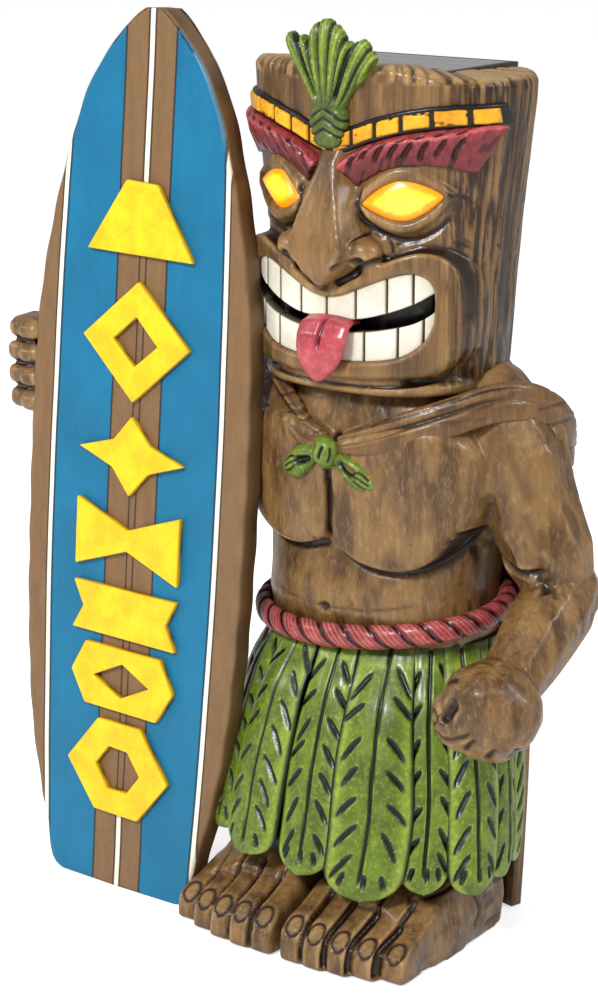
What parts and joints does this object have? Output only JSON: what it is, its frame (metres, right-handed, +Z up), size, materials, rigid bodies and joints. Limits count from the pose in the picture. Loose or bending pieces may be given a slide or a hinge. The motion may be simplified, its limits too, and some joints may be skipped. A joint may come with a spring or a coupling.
{
  "type": "tiki figure",
  "caption": "Garden tiki figure with a carved log head, leaf skirt and cape, one arm round an upright surfboard; a solar cell in the crown feeds lamps behind the eyes.",
  "frame": {"origin": "middle of the footprint of the whole figure, on the ground", "axes": "+Z up, -Y the way the figure faces, +X towards the figure's own left hand (the fist on the hip); the surfboard stands on the -X side"},
  "size_m": [0.2264, 0.1064, 0.318],
  "materials": {
    "carved_brown": "painted cast resin in carved-wood brown, dark wash in the cuts, pale dry-brushed edges, satin clear coat",
    "cape_brown": "painted cast resin in darker brown with long folds, satin",
    "leaf_green": "painted cast resin in leaf green over black-green wash, satin",
    "rope_red": "painted cast resin in brick red with pale strands, satin",
    "band_black": "black-brown painted cast resin, matte",
    "bead_amber": "golden orange painted cast resin, satin",
    "brow_red": "painted cast resin in brick red with dark cuts, satin",
    "eye_glow": "translucent amber plastic lit from behind",
    "teeth_ivory": "ivory painted cast resin, gloss",
    "tongue_pink": "pink-red painted cast resin, gloss",
    "board_paint": "painted cast resin: sky blue panels, brown rails and centre band, cream lines, satin",
    "motif_yellow": "bright yellow painted cast resin, satin",
    "solar_cell": "dark blue-black solar cell under a clear cover",
    "tray_plastic": "brown moulded plastic",
    "black_plastic": "black moulded plastic",
    "lamp_clear": "clear-amber lamp body",
    "circuit_green": "green circuit board",
    "battery_wrap": "plain green wrapped cell with steel ends",
    "contact_metal": "nickel-plated strip",
    "screw_metal": "plated steel",
    "switch_metal": "tinned steel can",
    "switch_black": "black moulded plastic",
    "wire_red": "red insulated wire",
    "wire_black": "black insulated wire"
  },
  "bodies": {
    "figure": {"head_shell": "carved_brown", "torso_shell": "carved_brown", "lower_body": "carved_brown", "left_arm": "carved_brown", "right_arm": "carved_brown", "left_foot": "carved_brown", "right_foot": "carved_brown", "leaf_skirt": "leaf_green", "waist_rope": "rope_red", "cape": "cape_brown", "cape_collar": "cape_brown", "bow_knot": "leaf_green", "bow_leaf_left": "leaf_green", "bow_leaf_right": "leaf_green", "leaf_crest": "leaf_green", "crest_binding": "leaf_green", "head_band": "band_black", "band_beads": "bead_amber", "brow_left": "brow_red", "brow_right": "brow_red", "eye_lens_left": "eye_glow", "eye_lens_right": "eye_glow", "upper_teeth": "teeth_ivory", "lower_teeth": "teeth_ivory", "tongue": "tongue_pink", "surfboard": "board_paint", "solar_tray": "tray_plastic", "solar_panel": "solar_cell", "led_left": "lamp_clear", "led_right": "lamp_clear", "led_holder_left": "black_plastic", "led_holder_right": "black_plastic", "circuit_board": "circuit_green", "battery_box": "black_plastic", "battery": "battery_wrap", "contact_plate": "contact_metal", "contact_spring": "contact_metal", "switch_body": "switch_metal", "solar_wire": "wire_red", "led_wire_left": "wire_black", "led_wire_right": "wire_black", "motif_1": "motif_yellow", "motif_2": "motif_yellow", "motif_3": "motif_yellow", "motif_4": "motif_yellow", "motif_5": "motif_yellow", "motif_6": "motif_yellow", "motif_7": "motif_yellow"},
    "cover": {"battery_cover": "black_plastic", "cover_screws": "screw_metal"},
    "knob": {"switch_knob": "switch_black"}
  },
  "joints": [
    {"name": "battery_cover_slide", "type": "slide", "parent": "figure", "child": "cover", "axis": [0, 0, -1], "range_m": [0, 0.03]},
    {"name": "switch_slide", "type": "slide", "parent": "figure", "child": "knob", "axis": [0, 1, 0], "range_m": [0, 0.003]}
  ]
}
